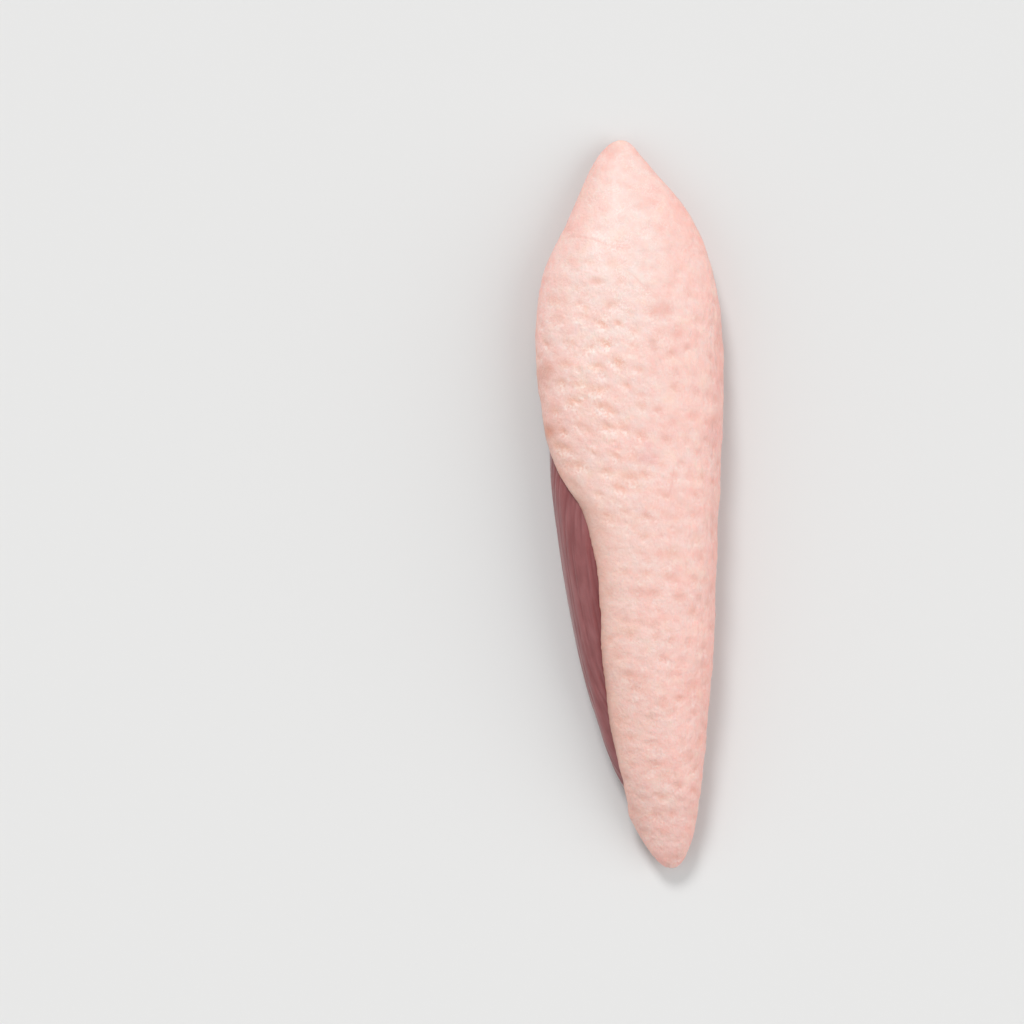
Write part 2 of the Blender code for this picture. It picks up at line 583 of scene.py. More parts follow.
@contextmanager
def edit_mode(piece: bpy.types.Object) -> Iterator[bmesh.types.BMesh]:
    """Opens a piece in edit mode with none of its faces selected, and closes it again.

    Args:
        piece: the piece to work on.

    Yields:
        The mesh that the edit mode works on.
    """
    take_up(piece)
    bpy.context.tool_settings.mesh_select_mode = (False, False, True)
    bpy.ops.object.mode_set(mode="EDIT")
    bpy.ops.mesh.select_all(action="DESELECT")
    yield bmesh.from_edit_mesh(piece.data)
    bpy.ops.object.mode_set(mode="OBJECT")


def finish_with(piece: bpy.types.Object, kind: str, **settings: float | str | bool) -> None:
    """Adds a modifier to a piece and applies it.

    Args:
        piece: the piece to finish.
        kind: the modifier's type.
        settings: the modifier's own properties.
    """
    take_up(piece)
    modifier = piece.modifiers.new(kind.lower(), kind)
    for key, value in settings.items():
        setattr(modifier, key, value)
    bpy.ops.object.modifier_apply(modifier=modifier.name)


def copy_of_node(node: str, name: str) -> bpy.types.Object:
    """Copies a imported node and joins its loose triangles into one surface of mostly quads.

    Args:
        node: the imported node's name.
        name: the new piece's name.

    Returns:
        The new piece.
    """
    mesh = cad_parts[node].data.copy()
    mesh.name = name
    mesh.materials.clear()
    piece = bpy.data.objects.new(name, mesh)
    bpy.context.scene.collection.objects.link(piece)
    with edit_mode(piece):
        bpy.ops.mesh.select_all(action="SELECT")
        bpy.ops.mesh.remove_doubles(threshold=0.001 * MILLIMETRE)
        bpy.ops.mesh.customdata_custom_splitnormals_clear()
        bpy.ops.mesh.tris_convert_to_quads(face_threshold=math.pi, shape_threshold=math.pi)
    return piece


def points_of(piece: bpy.types.Object) -> np.ndarray:
    """Reads where a piece's points are.

    Args:
        piece: the piece to read.

    Returns:
        The points, one a row.
    """
    points = np.empty(len(piece.data.vertices) * 3)
    piece.data.vertices.foreach_get("co", points)
    return points.reshape(-1, 3)


def normals_of(piece: bpy.types.Object) -> np.ndarray:
    """Reads the way out of a piece at its points.

    Args:
        piece: the piece to read.

    Returns:
        The ways, one a row.
    """
    normals = np.empty(len(piece.data.vertices) * 3, np.float32)
    piece.data.vertex_normals.foreach_get("vector", normals)
    return normals.reshape(-1, 3).astype(float)


def move_points(piece: bpy.types.Object, points: np.ndarray) -> None:
    """Puts the piece's points where these rows say."""
    piece.data.vertices.foreach_set("co", points.ravel())
    piece.data.update()


def keep_field(piece: bpy.types.Object, name: str, values: np.ndarray) -> None:
    """Stores one number for each point under this name, for the material to read."""
    stored = piece.data.attributes.new(name, "FLOAT", "POINT")
    stored.data.foreach_set("value", values.astype(np.float32))


def keep_flat_places(piece: bpy.types.Object, places: np.ndarray) -> None:
    """Stores where each point lies on the piece laid flat, for the material to read.

    Args:
        piece: the piece that the points belong to.
        places: two flat coordinates for each point.
    """
    stored = piece.data.attributes.new("flat", "FLOAT_VECTOR", "POINT")
    values = np.column_stack((places, np.zeros(len(places))))
    stored.data.foreach_set("vector", values.astype(np.float32).ravel())


def tree_of(points: np.ndarray) -> KDTree:
    """Sorts points for finding the one closest to a place.

    Args:
        points: the points, one a row.

    Returns:
        A search tree, in which each point has its row's number.
    """
    tree = KDTree(len(points))
    for row, point in enumerate(points.tolist()):
        tree.insert(point, row)
    tree.balance()
    return tree


def thin_out(piece: bpy.types.Object, hidden: np.ndarray, keep: float) -> None:
    """Simplifies the faces whose points are all hidden.

    Args:
        piece: the piece to lighten.
        hidden: True for each point that can't be seen.
        keep: the share of those faces that is kept.
    """
    with edit_mode(piece) as mesh:
        for face in mesh.faces:
            face.select_set(all(hidden[vertex.index] for vertex in face.verts))
        bmesh.update_edit_mesh(piece.data)
        bpy.ops.mesh.decimate(ratio=keep)


class Unrolled:
    """The fillet's outside laid flat, so that a pattern on it keeps its size on every slope.

    Each cross section is read by spokes from a hub inside it. The first coordinate is the way
    round the section from the crest line, to the right, and the second the way along the crest.
    """

    HUB_HEIGHT = 0.40  # of the crest's
    SHORT_OF_END = 1.001  # keeps a place on the last spoke inside the table

    def __init__(self, points: np.ndarray, stations: int = 60, spokes: int = 72) -> None:
        """Measures the sections of a surface.

        Args:
            points: points of the outside, one a row.
            stations: how many sections are read.
            spokes: how many spokes each section has.
        """
        low, high = points[:, 1].min(), points[:, 1].max()
        reach = (high - low) / stations
        self.stations = np.linspace(low + reach / 2, high - reach / 2, stations)
        self.step = 2 * math.pi / spokes
        self.spokes = -math.pi + self.step * (np.arange(spokes) + 0.5)
        self.hubs = np.empty((stations, 2))
        self.crest = np.empty(stations)
        self.around = np.empty((stations, spokes))
        for row, station in enumerate(self.stations):
            near = points[np.abs(points[:, 1] - station) < reach]
            self.crest[row] = near[:, 2].max()
            middle = (near[:, 0].min() + near[:, 0].max()) / 2
            self.hubs[row] = middle, self.crest[row] * self.HUB_HEIGHT
            self.around[row] = self.section(near, self.hubs[row])
        slope = np.gradient(self.crest, self.stations)
        stretch = np.hypot(1.0, slope)
        length = np.cumsum(stretch) * reach
        self.along = length - np.interp(0.0, self.stations, length)

    def section(self, near: np.ndarray, hub: np.ndarray) -> np.ndarray:
        """Measures one section.

        Args:
            near: the points close to the section.
            hub: the section's hub.

        Returns:
            For each spoke, the way round the section from the crest.
        """
        angles = np.arctan2(near[:, 0] - hub[0], near[:, 2] - hub[1])
        radii = np.hypot(near[:, 0] - hub[0], near[:, 2] - hub[1])
        rows = np.clip(((angles + math.pi) / self.step).astype(int), 0, len(self.spokes) - 1)
        count = np.bincount(rows, minlength=len(self.spokes))
        total = np.bincount(rows, weights=radii, minlength=len(self.spokes))
        known = count > 0
        radius = np.interp(
            self.spokes, self.spokes[known], total[known] / count[known], period=2 * math.pi
        )
        length = np.cumsum(np.hypot(radius, np.gradient(radius, self.step))) * self.step
        return length - np.interp(0.0, self.spokes, length)

    def places(self, points: np.ndarray) -> np.ndarray:
        """Lays points flat.

        Args:
            points: the points, one a row.

        Returns:
            The two flat coordinates of each point.
        """
        station = points[:, 1]
        hub_x = np.interp(station, self.stations, self.hubs[:, 0])
        hub_z = np.interp(station, self.stations, self.hubs[:, 1])
        angles = np.arctan2(points[:, 0] - hub_x, points[:, 2] - hub_z)
        row = np.interp(station, self.stations, np.arange(len(self.stations)))
        last = len(self.spokes) - self.SHORT_OF_END
        column = np.clip((angles - self.spokes[0]) / self.step, 0, last)
        low_row = np.minimum(row.astype(int), len(self.stations) - 2)
        low_column = column.astype(int)
        row_share = row - low_row
        column_share = column - low_column
        before = self.around[low_row, low_column] * (1 - column_share)
        before += self.around[low_row, low_column + 1] * column_share
        after = self.around[low_row + 1, low_column] * (1 - column_share)
        after += self.around[low_row + 1, low_column + 1] * column_share
        across = before * (1 - row_share) + after * row_share
        return np.column_stack((across, np.interp(station, self.stations, self.along)))

    def places_from_below(self, points: np.ndarray) -> np.ndarray:
        """Lays points flat, with the way round measured from the underside's middle.

        Args:
            points: the points, one a row.

        Returns:
            The two flat coordinates of each point.
        """
        places = self.places(points)
        to_left = np.interp(points[:, 1], self.stations, self.around[:, 0])
        to_right = np.interp(points[:, 1], self.stations, self.around[:, -1])
        places[:, 0] -= np.where(places[:, 0] > 0, to_right, to_left)
        return places


@dataclass(frozen=True)
class Dent:
    """The shape of the dent at a follicle.

    It drops steeply on the side towards the tip and rises gently on the other.
    """

    length: float
    steep: float
    gentle: float
    depth: float
    slant_deg: float = 0.0

    def towards(self, other: "Dent", share: np.ndarray) -> dict[str, np.ndarray]:
        """Returns each measure of a dent that is this share of the way to another."""
        pairs = {name: (value, getattr(other, name)) for name, value in vars(self).items()}
        return {name: low + (high - low) * share for name, (low, high) in pairs.items()}


@dataclass(frozen=True)
class FollicleBed:
    """Staggered rows of follicles that the plucked feathers grew from.

    Where the skin lies slack a follicle is a long slanting dent, and where it is taut, a shallow
    round one.
    """

    SCATTER_TURNS = (127.1, 311.7, 74.7)  # uneven enough for their sines to look random
    SCATTER_REACH = 43758.5453

    slack: Dent
    taut: Dent
    pitch: float
    redness: float = 1.0
    salt: float = 0.0
    rows_apart: float = 0.95
    lean_deg: float = -5.0
    unevenness: float = 0.64
    least: float = 0.45
    smallest: float = 0.75
    size_spread: float = 0.5
    # lip_off and lip_width place the painted highlight on the gentle side of each dent, which faces
    # the light
    lip_off: float = 1.1
    lip_width: float = 0.8
    bend: float = 2.1 * MILLIMETRE
    bend_size: float = 14.0 * MILLIMETRE
    turn_deg: float = 20.0

    def scatter(self, cells: np.ndarray, kind: float) -> np.ndarray:
        """Draws a number for each cell, which only looks random.

        Args:
            cells: the cells' two whole numbers, one cell a row.
            kind: which of a cell's numbers is meant.

        Returns:
            The numbers, from 0 to 1.
        """
        across, along, salt = self.SCATTER_TURNS
        seed = (self.salt + kind) * salt
        mixed = np.sin(cells[:, 0] * across + cells[:, 1] * along + seed) * self.SCATTER_REACH
        return mixed - np.floor(mixed)

    def press(self, places: np.ndarray, slack: np.ndarray) -> dict[str, np.ndarray]:
        """Presses all the follicles into the skin.

        Args:
            places: flat coordinates over the skin, in metres.
            slack: how slack the skin is at each place, from 0 to 1.

        Returns:
            For each place its height, how red it is and how strong its painted highlight is.
        """
        bends = [lumps(places, self.bend_size, self.salt + shift) for shift in Shift.BENDS]
        bent = places + self.bend * np.column_stack(bends)
        lean = math.radians(self.lean_deg)
        row_way = np.array([math.cos(lean), math.sin(lean)]) * self.pitch
        column_way = np.array([-row_way[1], row_way[0]]) * self.rows_apart + row_way * 0.5
        basis = np.array([row_way, column_way])
        grid = bent @ np.linalg.inv(basis)
        cells = np.floor(grid)
        shape = self.taut.towards(self.slack, slack)
        result = {name: np.zeros(len(places)) for name in ("height", "red", "pale")}
        for step in product((-1, 0, 1), repeat=2):
            home = cells + step
            drift = np.column_stack((self.scatter(home, 1.0), self.scatter(home, 2.0))) - 0.5
            offset = (grid - home - 0.5 - self.unevenness * drift) @ basis
            for name, values in self.dent(offset, home, shape).items():
                result[name] += values
        return result

    def dent(
        self, offset: np.ndarray, home: np.ndarray, shape: dict[str, np.ndarray]
    ) -> dict[str, np.ndarray]:
        """Presses one follicle.

        Args:
            offset: the way from the follicle to each place.
            home: the follicle's own cell.
            shape: the dent's measures at each place.

        Returns:
            What it adds to each place's height, red and painted highlight.
        """
        vigour = self.least + (1 - self.least) * self.scatter(home, 3.0)
        size = self.smallest + self.size_spread * self.scatter(home, 4.0)
        turn = np.radians(shape["slant_deg"] + self.turn_deg * (self.scatter(home, 5.0) * 2 - 1))
        along = (offset[:, 0] * np.cos(turn) + offset[:, 1] * np.sin(turn)) / size
        across = (offset[:, 1] * np.cos(turn) - offset[:, 0] * np.sin(turn)) / size
        width = np.where(across > 0, shape["steep"], shape["gentle"])
        ends = vigour * bell(along, shape["length"])
        lip_width = self.lip_width * shape["gentle"]
        return {
            "height": -shape["depth"] * ends * bell(across, width),
            "red": self.redness * ends * bell(across, 0.5 * (shape["steep"] + shape["gentle"])),
            # pale is a painted highlight on the gentle lip, which faces the light
            "pale": ends * bell(across + self.lip_off * shape["gentle"], lip_width),
        }


CONTOUR_FEATHERS = FollicleBed(
    slack=Dent(2.3 * MILLIMETRE, 0.90 * MILLIMETRE, 1.40 * MILLIMETRE, 0.29 * MILLIMETRE, -24.0),
    taut=Dent(1.50 * MILLIMETRE, 1.25 * MILLIMETRE, 1.50 * MILLIMETRE, 0.20 * MILLIMETRE),
    pitch=5.7 * MILLIMETRE,
)
DOWN_FEATHERS = FollicleBed(
    slack=Dent(0.95 * MILLIMETRE, 0.45 * MILLIMETRE, 0.85 * MILLIMETRE, 0.15 * MILLIMETRE, -24.0),
    taut=Dent(0.8 * MILLIMETRE, 0.60 * MILLIMETRE, 0.80 * MILLIMETRE, 0.09 * MILLIMETRE),
    pitch=3.1 * MILLIMETRE,
    redness=0.35,
    salt=8.0,
    unevenness=0.95,
    least=0.0,
    turn_deg=40.0,
)


@dataclass(frozen=True)
class Spot:
    """A round patch on the skin, at a pixel of the photograph."""

    pixel: tuple[float, float]
    width: float
    strength: float

    def over(self, points: np.ndarray) -> np.ndarray:
        """Returns how strongly the patch covers each point, as seen from above."""
        x, y = PHOTO.place(*self.pixel)
        return self.strength * bell(np.hypot(points[:, 0] - x, points[:, 1] - y), self.width)


@dataclass(frozen=True)
class Crease:
    """A hair-fine fold that runs through pixels of the photograph."""

    pixels: tuple[tuple[float, float], ...]
    strength: float = 1.0
    width: float = 0.38 * MILLIMETRE
    reach: float = 4.0
    steps: int = 160

    def over(self, points: np.ndarray) -> np.ndarray:
        """Draws the crease as seen from above.

        Args:
            points: the points, one a row.

        Returns:
            How close each point lies to the crease, from 0 to 1.
        """
        stops = np.array([PHOTO.place(*pixel) for pixel in self.pixels])
        share = np.linspace(0.0, 1.0, self.steps)
        degree = len(stops) - 1
        knots = np.linspace(0.0, 1.0, len(stops))
        line = np.column_stack(
            [np.polyval(np.polyfit(knots, stops[:, axis], degree), share) for axis in (ACROSS, ALONG)]
        )
        fade = np.sqrt(np.sin(math.pi * share))
        low = line.min(0) - self.reach * self.width
        high = line.max(0) + self.reach * self.width
        near = np.all((points[:, :2] > low) & (points[:, :2] < high), axis=1)
        gaps = np.linalg.norm(points[near, None, :2] - line[None], axis=2)
        closest = gaps.argmin(1)
        result = np.zeros(len(points))
        result[near] = self.strength * fade[closest] * bell(gaps.min(1), self.width)
        return result


@dataclass(frozen=True)
class Oval:
    """A soft oval part of the skin round a pixel of the photograph."""

    pixel: tuple[float, float]
    half_width: float
    half_length: float
    fullness: float = 1.0

    def over(self, points: np.ndarray) -> np.ndarray:
        """Lays the oval over the skin as seen from above.

        Args:
            points: the points, one a row.

        Returns:
            How much each point belongs to the oval, from 0 to 1.
        """
        x, y = PHOTO.place(*self.pixel)
        across = (points[:, 0] - x) / self.half_width
        along = (points[:, 1] - y) / self.half_length
        return np.exp(-((across**2 + along**2) ** self.fullness))


@dataclass(frozen=True)
class Belt:
    """A soft belt across the fillet, at a row of the photograph's pixels."""

    row: float
    width: float

    def over(self, points: np.ndarray) -> np.ndarray:
        """Returns how much each point belongs to the belt, from 0 to 1."""
        return bell(points[:, 1] - PHOTO.place(0.0, self.row)[1], self.width)


@dataclass(frozen=True)
class Slope:
    """A smooth change from 0 to 1 along an axis."""

    axis: int
    start: float
    end: float

    def over(self, points: np.ndarray) -> np.ndarray:
        """Returns how far each point is along the change, from 0 to 1."""
        return smooth_step(self.start, self.end, points[:, self.axis])


@dataclass(frozen=True)
class SkinMap:
    """Where the skin is slack, taut, netted, stretched and pink.

    The shares of pink add up, and a painted sheen on the crest is taken off them.
    """

    slack_patch: Oval = Oval((590.0, 390.0), 14 * MILLIMETRE, 38 * MILLIMETRE, 1.3)
    slack_below: Slope = Slope(ALONG, 22 * MILLIMETRE, 2 * MILLIMETRE)
    slack_left: Slope = Slope(ACROSS, 24 * MILLIMETRE, 12 * MILLIMETRE)
    slack_low: float = 0.18
    taut_tip: Slope = Slope(ALONG, 44 * MILLIMETRE, 74 * MILLIMETRE)
    relief_lost_at_tip: float = 0.5
    # the crest, which gets a broad painted highlight and the net's strongest painted glints
    crest_patch: Oval = Oval((618.0, 250.0), 11 * MILLIMETRE, 30 * MILLIMETRE)
    stretched_side: Slope = Slope(ACROSS, 4 * MILLIMETRE, 14 * MILLIMETRE)
    wrinkled_side: Slope = Slope(ACROSS, 4 * MILLIMETRE, 16 * MILLIMETRE)
    pink: float = 0.37
    pink_and_shade_of_slopes: float = 0.60
    pink_right: Slope = Slope(ACROSS, -2 * MILLIMETRE, 16 * MILLIMETRE)
    pink_of_right: float = 0.08
    pink_tail: Slope = Slope(ALONG, 30 * MILLIMETRE, -60 * MILLIMETRE)
    pink_of_tail: float = 0.14
    pink_waist: Belt = Belt(415.0, 16 * MILLIMETRE)
    pink_of_waist: float = 0.07
    painted_sheen_of_crest: float = 0.22

    def slack(self, points: np.ndarray) -> np.ndarray:
        """Tells where the skin lies slack and puckers most: the left of the middle.

        Args:
            points: the points, one a row.

        Returns:
            How slack the skin is at each point, from 0 to 1.
        """
        low = self.slack_below.over(points) * self.slack_left.over(points)
        return np.clip(self.slack_patch.over(points) + self.slack_low * low, 0, 1)

    def rough(self, points: np.ndarray) -> np.ndarray:
        """Returns how strong the relief is: less towards the tip, where the skin is taut."""
        return 1 - self.relief_lost_at_tip * self.taut_tip.over(points)

    def rosy(self, points: np.ndarray, normals: np.ndarray) -> np.ndarray:
        """Tells how pink the skin is: more at the sides, partly from the thinner fat and partly as
        painted shade, more at the tail, and least on the crest, under its painted sheen.

        Args:
            points: the points, one a row.
            normals: the way out at each point.

        Returns:
            How pink the skin is at each point, from 0 to 1.
        """
        # Pinker where the surface slopes away: partly the thinner fat at the sides, partly painted
        # shade.
        pink = self.pink + self.pink_and_shade_of_slopes * (1 - normals[:, 2])
        pink += self.pink_of_right * self.pink_right.over(points)
        pink += self.pink_of_tail * self.pink_tail.over(points)
        pink += self.pink_of_waist * self.pink_waist.over(points)
        return np.clip(pink - self.painted_sheen_of_crest * self.crest_patch.over(points), 0, 1)


BLOTCHES = (
    Spot((641, 459), 1.5 * MILLIMETRE, 0.55),
    Spot((651, 460), 1.5 * MILLIMETRE, 0.6),
    Spot((646, 446), 1.2 * MILLIMETRE, 0.6),
    Spot((719, 386), 1.8 * MILLIMETRE, 0.5),
    Spot((714, 435), 1.8 * MILLIMETRE, 0.5),
)
# Red-brown spots on the skin. The one at (543, 375) is painted warm shade along the left edge, and the
# one at (556, 475) painted shade where the skin meets the bare meat.
RED_SPOTS_AND_EDGE_SHADE = (
    Spot((548, 432), 2.2 * MILLIMETRE, 1.0),
    Spot((651, 344), 1.2 * MILLIMETRE, 0.5),
    Spot((543, 375), 2.6 * MILLIMETRE, 0.6),
    Spot((556, 475), 1.8 * MILLIMETRE, 0.8),
    Spot((594, 173), 1.8 * MILLIMETRE, 0.22),
    Spot((614, 149), 1.6 * MILLIMETRE, 0.22),
    Spot((700, 223), 2.0 * MILLIMETRE, 0.28),
    Spot((583, 196), 2.0 * MILLIMETRE, 0.20),
    Spot((719, 344), 1.6 * MILLIMETRE, 0.26),
    Spot((678, 191), 1.6 * MILLIMETRE, 0.20),
)
CREASES = (
    Crease(((557, 240), (577, 238), (597, 243), (614, 252)), 0.8),
    Crease(((620, 272), (632, 278), (642, 289), (652, 303)), 0.8),
    Crease(((651, 348), (654, 372), (660, 410), (663, 452)), 0.35),
    Crease(((671, 464), (670, 484), (664, 501)), 0.9),
    Crease(((712, 358), (714, 372), (717, 388)), 0.9),
    Crease(((706, 374), (709, 388), (707, 404)), 0.5),
    Crease(((709, 500), (712, 520), (711, 545)), 0.7),
    Crease(((678, 548), (684, 562), (682, 580)), 0.7),
)


@dataclass
class DuckSkin:
    """The skin with its fat: a cap whose outside has the follicles' relief.

    What is called facing is measured as facing() does it: 1 on the outside, -1 on the inside.
    """

    node: str = "skin_fat"
    name: str = "duck_skin"
    slot: str = "skin"
    levels: int = 2
    grid: float = 0.42 * MILLIMETRE
    grid_smoothing: int = 6
    smoothing: float = 0.5
    axis_half_length: float = 75.0 * MILLIMETRE
    open_rim_facing: float = 0.3
    open_rim_height: float = 7.0 * MILLIMETRE
    edge_evenness: float = 2.5 * MILLIMETRE
    rim_spread: float = 1.2 * MILLIMETRE
    rim_spread_rise: Range = (0.35, 1.35)  # of open_rim_height
    knee: Belt = Belt(530.0, 7 * MILLIMETRE)
    knee_spread: float = 2.1 * MILLIMETRE
    roll_start: float = 0.7 * MILLIMETRE
    roll_reach: float = 4.5 * MILLIMETRE
    roll_depth: float = 1.6 * MILLIMETRE
    rolled_facing: Range = (-1.4, 0.5)
    calm_reach: float = 5.5 * MILLIMETRE
    relief_back: Range = (0.1, 1.0)  # of calm_reach
    relief_at_edge: float = 0.4
    rim_wander: float = 0.20 * MILLIMETRE
    rim_wander_size: float = 6.0 * MILLIMETRE
    wander_facing: Range = (0.2, 0.8)
    rim_smoothing: int = 18
    smoothed_facing: Range = (0.6, 0.9)
    smoothed_share: float = 0.6  # of roll_reach
    relief_facing: Range = (0.15, 0.7)
    outside_facing: float = 0.6
    skin_facing: Range = (0.0, 0.4)
    hidden_facing: float = -0.5
    inside_kept: float = 0.04
    swell_height: float = 0.34 * MILLIMETRE
    swell_size: float = 8.5 * MILLIMETRE
    fold_height: float = 0.17 * MILLIMETRE
    fold_size: float = 2.7 * MILLIMETRE
    fold_stretch: float = 0.8
    fold_when_taut: float = 0.35
    crinkle_height: float = 0.075 * MILLIMETRE
    crinkle_size: float = 1.35 * MILLIMETRE
    crinkle_stretch: float = 0.7
    crinkle_when_taut: float = 0.5
    wrinkle_height: float = 0.19 * MILLIMETRE
    wrinkle_size: float = 1.3 * MILLIMETRE
    wrinkle_stretch: float = 0.12
    crease_depth: float = 0.10 * MILLIMETRE
    crease_slope: Range = (0.15, 0.4)
    beds: tuple[FollicleBed, ...] = (CONTOUR_FEATHERS, DOWN_FEATHERS)
    lean_deg: float = -22.0
    skin_map: SkinMap = SkinMap()
    finish: SkinFinish = SkinFinish()

    def build(self) -> bpy.types.Object:
        """Models, dresses and places the skin.

        Returns:
            The skin.
        """
        piece = copy_of_node(self.node, self.name)
        finish_with(piece, "SUBSURF", levels=self.levels, render_levels=self.levels)
        finish_with(piece, "REMESH", mode="VOXEL", voxel_size=self.grid, use_smooth_shade=True)
        finish_with(piece, "SMOOTH", factor=self.smoothing, iterations=self.grid_smoothing)
        to_edge, off_edge = self.open_edge(piece)
        self.roll_the_edge(piece, to_edge, off_edge)
        self.round_the_rim(piece, to_edge)
        facing = self.facing(piece)
        self.raise_relief(piece, facing, to_edge)
        hidden = (facing < self.hidden_facing) & (to_edge > self.roll_reach)
        thin_out(piece, hidden, self.inside_kept)
        take_up(piece)
        bpy.ops.object.shade_smooth()
        piece.data.materials.append(self.finish.material())
        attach(piece, "root")
        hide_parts(self.node)
        return piece

    def outward(self, points: np.ndarray) -> np.ndarray:
        """Finds the way from the fillet's middle line to points of the cap.

        Args:
            points: the points, one a row.

        Returns:
            The ways, one a row, each 1 long.
        """
        axis = points.copy()
        axis[:, 1] = np.clip(points[:, 1], -self.axis_half_length, self.axis_half_length)
        sections = Unrolled(points)
        axis[:, 0] = np.interp(axis[:, 1], sections.stations, sections.hubs[:, 0])
        axis[:, 2] = np.interp(axis[:, 1], sections.stations, sections.hubs[:, 1])
        outward = points - axis
        return outward / np.linalg.norm(outward, axis=1, keepdims=True)

    def facing(self, piece: bpy.types.Object) -> np.ndarray:
        """Tells the outside of the cap from its inside.

        Args:
            piece: the cap.

        Returns:
            For each point 1 on the outside, -1 on the inside and between them on the rim.
        """
        return np.einsum("ij,ij->i", self.outward(points_of(piece)), normals_of(piece))

    def open_edge(self, piece: bpy.types.Object) -> tuple[np.ndarray, np.ndarray]:
        """Finds the edge that lies open on the flank.

        Args:
            piece: the cap.

        Returns:
            Each point's distance from that edge, and the way off the skin where it is closest.
        """
        points = points_of(piece)
        normals = normals_of(piece)
        facing = self.facing(piece)
        high = points[:, 2] > self.open_rim_height
        edge = np.flatnonzero((np.abs(facing) < self.open_rim_facing) & high)
        tree = tree_of(points[edge])
        ways = np.empty((len(edge), 3))
        for row, point in enumerate(points[edge].tolist()):
            around = [found[1] for found in tree.find_range(point, self.edge_evenness)]
            ways[row] = normals[edge[around]].mean(axis=0)
        ways /= np.linalg.norm(ways, axis=1, keepdims=True)
        closest = [tree.find(point) for point in points.tolist()]
        to_edge = np.array([found[2] for found in closest])
        return to_edge, ways[[found[1] for found in closest]]

    def roll_the_edge(
        self, piece: bpy.types.Object, to_edge: np.ndarray, off_edge: np.ndarray
    ) -> None:
        """Draws the skin out beyond the open edge and rolls it down on the meat.

        Args:
            piece: the cap.
            to_edge: each point's distance from the open edge.
            off_edge: the way off the skin at each point.
        """
        points = points_of(piece)
        near = np.clip(1 - (to_edge - self.roll_start) / self.roll_reach, 0, 1)
        drop = self.roll_depth * near**2
        drop *= smooth_step(*self.rolled_facing, self.facing(piece))
        spread = (self.rim_spread + self.knee_spread * self.knee.over(points)) * near**2
        spread *= smooth_step(*self.rim_spread_rise, points[:, 2] / self.open_rim_height)
        moved = points - self.outward(points) * drop[:, None] + off_edge * spread[:, None]
        move_points(piece, moved)

    def round_the_rim(self, piece: bpy.types.Object, to_edge: np.ndarray) -> None:
        """Lets the cut rim wander a little and rolls it over softly.

        Args:
            piece: the cap.
            to_edge: each point's distance from the open edge.
        """
        points = points_of(piece)
        rim = 1 - smooth_step(*self.wander_facing, np.abs(self.facing(piece)))
        wander = self.rim_wander * lumps(points, self.rim_wander_size, Shift.RIM)
        move_points(piece, points + normals_of(piece) * (rim * wander)[:, None])
        rim = 1 - smooth_step(*self.smoothed_facing, np.abs(self.facing(piece)))
        rim = np.maximum(rim, bell(to_edge, self.smoothed_share * self.roll_reach))
        group = piece.vertex_groups.new(name="rim")
        for index in np.flatnonzero(rim).tolist():
            group.add([index], rim[index], "REPLACE")
        settings = {"factor": self.smoothing, "iterations": self.rim_smoothing}
        finish_with(piece, "SMOOTH", vertex_group=group.name, **settings)
        piece.vertex_groups.clear()

    def raise_relief(
        self, piece: bpy.types.Object, facing: np.ndarray, to_edge: np.ndarray
    ) -> None:
        """Moves the outside's points in and out, and stores what the material reads.

        Args:
            piece: the cap.
            facing: which way each point looks, as facing() gives it.
            to_edge: each point's distance from the open edge.
        """
        points = points_of(piece)
        normals = normals_of(piece)
        outside = smooth_step(*self.relief_facing, facing)
        places = Unrolled(points[facing > self.outside_facing]).places(points)
        slack = self.skin_map.slack(points)
        off_edge = smooth_step(*self.relief_back, to_edge / self.calm_reach)
        strength = self.relief_at_edge + (1 - self.relief_at_edge) * off_edge
        rough = self.skin_map.rough(points) * strength
        pressed = [bed.press(places, slack) for bed in self.beds]
        pits = {name: sum(layer[name] for layer in pressed) for name in pressed[0]}
        creases = np.clip(sum(crease.over(points) for crease in CREASES), 0, 1)
        creases *= smooth_step(*self.crease_slope, normals[:, 2])
        height = rough * (pits["height"] + self.puckers(places, slack))
        height += self.swell_height * lumps(points, self.swell_size, Shift.SWELLS)
        height += self.wrinkles(points, places) - self.crease_depth * creases
        move_points(piece, points + normals * (height * outside)[:, None])
        fields = {
            "skin": smooth_step(*self.skin_facing, facing),
            "follicle": np.clip(pits["red"] * rough, 0, 1) * outside,
            # the painted highlight on the follicles' lips
            "lip": np.clip(pits["pale"] * rough, 0, 1) * outside,
            # where the creases' painted shade lies; the creases are also pressed in
            "crease": creases,
            "slack": slack * rough,
            # where the net's painted glints are strongest
            "crest_glints": self.skin_map.crest_patch.over(points),
            "stretched": self.skin_map.stretched_side.over(points),
            # painted shade towards the open edge
            "open_edge_shade": np.exp(-to_edge / self.roll_reach),
            "flush": np.clip(sum(spot.over(points) for spot in BLOTCHES), 0, 1),
            "red_spots_and_edge_shade": np.clip(sum(spot.over(points) for spot in RED_SPOTS_AND_EDGE_SHADE), 0, 1),
            "rosy": self.skin_map.rosy(points, normals),
        }
        for name, values in fields.items():
            keep_field(piece, name, values)

